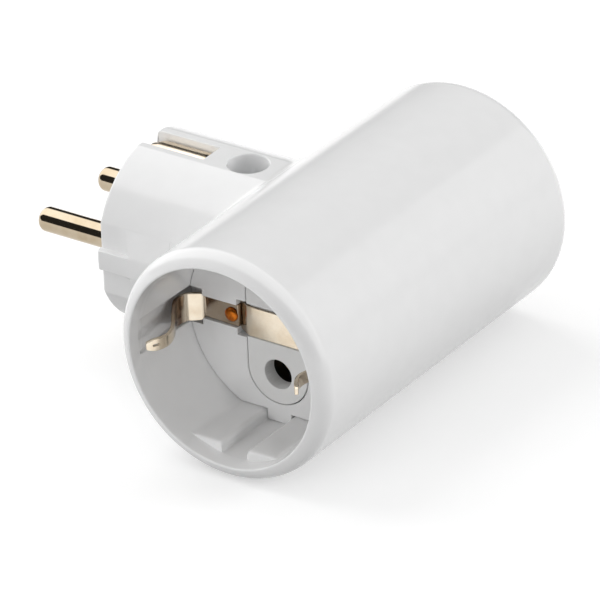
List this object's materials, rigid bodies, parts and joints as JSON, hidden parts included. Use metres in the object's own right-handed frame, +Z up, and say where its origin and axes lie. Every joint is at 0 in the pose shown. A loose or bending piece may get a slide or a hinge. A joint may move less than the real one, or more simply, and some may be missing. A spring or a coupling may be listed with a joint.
{
  "type": "double socket adapter",
  "caption": "T-shaped mains adapter: an earthed round-pin plug that carries an earthed socket in each end of a cross tube.",
  "frame": {"origin": "centre of the plug's face, between the roots of its pins", "axes": "-X along the plug's pins, Y along the tube from one socket to the other, +Z up through the plug's top flat"},
  "size_m": [0.0851, 0.0822, 0.0452],
  "materials": {
    "white_plastic": "glossy white moulded plastic",
    "pale_grey_plastic": "satin pale grey moulded plastic",
    "brass": "bare stamped brass",
    "nickelled_brass": "bright nickelled brass",
    "copper": "copper rivet",
    "zinc_plated_steel": "zinc plated steel"
  },
  "bodies": {
    "root": {"casing": "white_plastic", "plug_insert": "white_plastic", "near_plug_pin": "nickelled_brass", "far_plug_pin": "nickelled_brass", "top_screw": "zinc_plated_steel", "bottom_screw": "zinc_plated_steel", "plug_earth_bow": "nickelled_brass", "live_bar": "brass", "neutral_bar": "brass", "earth_link": "brass", "near_floor": "white_plastic", "near_contact_carrier": "pale_grey_plastic", "near_earth_strap": "nickelled_brass", "near_live_sleeve": "brass", "near_neutral_sleeve": "brass", "near_inner_clip": "nickelled_brass", "near_outer_clip": "nickelled_brass", "near_inner_rivet": "copper", "near_outer_rivet": "copper", "far_floor": "white_plastic", "far_contact_carrier": "pale_grey_plastic", "far_earth_strap": "nickelled_brass", "far_live_sleeve": "brass", "far_neutral_sleeve": "brass", "far_inner_clip": "nickelled_brass", "far_outer_clip": "nickelled_brass", "far_inner_rivet": "copper", "far_outer_rivet": "copper"}
  },
  "joints": []
}
